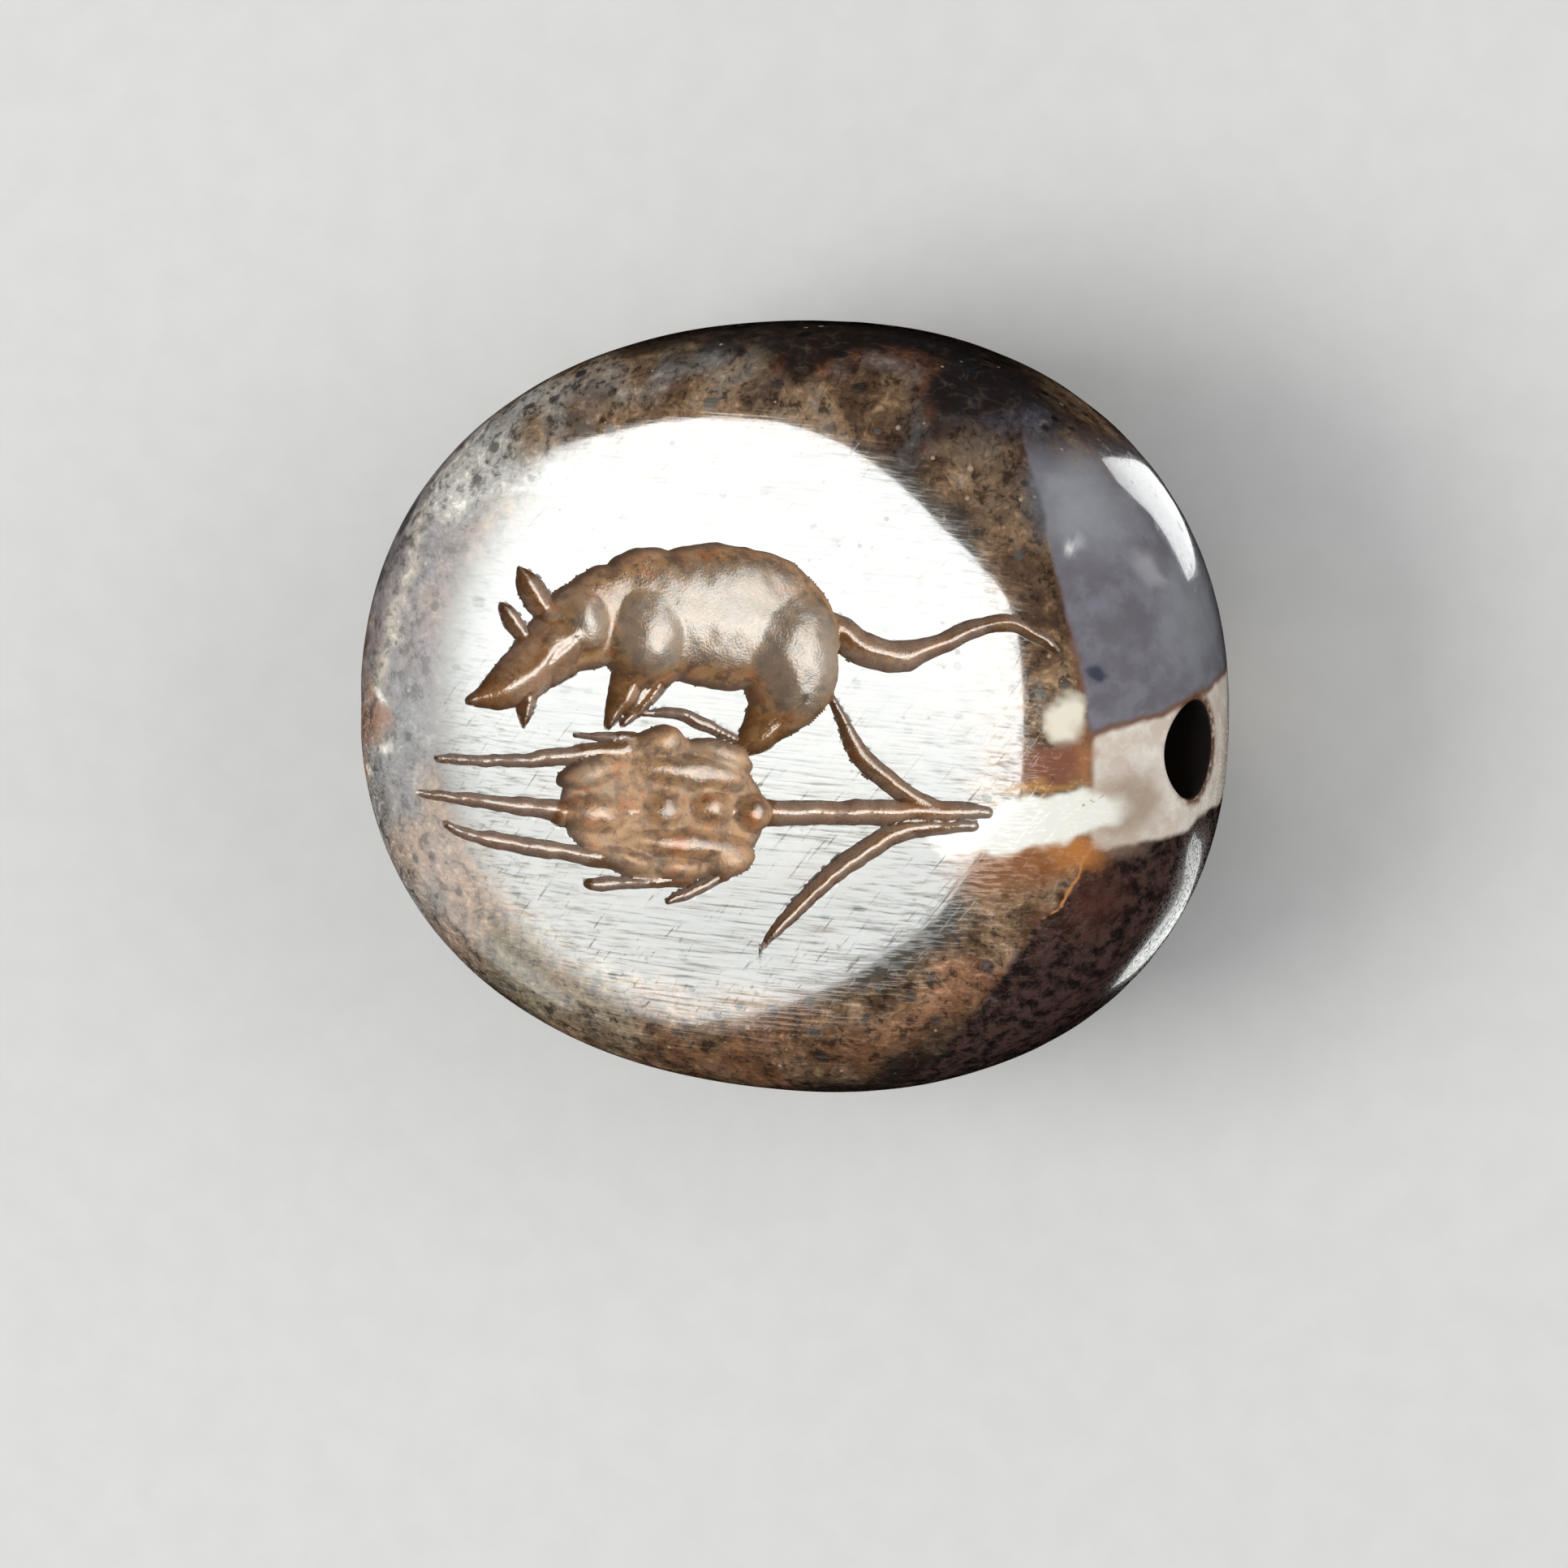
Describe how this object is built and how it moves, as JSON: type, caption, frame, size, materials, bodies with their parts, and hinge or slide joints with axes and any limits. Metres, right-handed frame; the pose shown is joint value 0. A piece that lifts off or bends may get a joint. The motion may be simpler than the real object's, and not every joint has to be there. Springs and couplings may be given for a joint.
{
  "type": "scaraboid seal",
  "caption": "Scaraboid seal stone with a domed back, a bore along its length for a cord, and a mouse over an ear of grain sunk into its flat face for stamping soft wax or clay.",
  "frame": {"origin": "middle of the small flat on the domed back, on the surface that the seal lies on", "axes": "+X along the bore towards the pale end, +Y towards the mouse's back, +Z out of the carved face"},
  "size_m": [0.0204, 0.0177, 0.0102],
  "materials": {
    "stone": "polished mottled brown chalcedony with a pale band at one end and fine wear scratches"
  },
  "bodies": {
    "root": {"scaraboid_seal": "stone"}
  },
  "joints": []
}
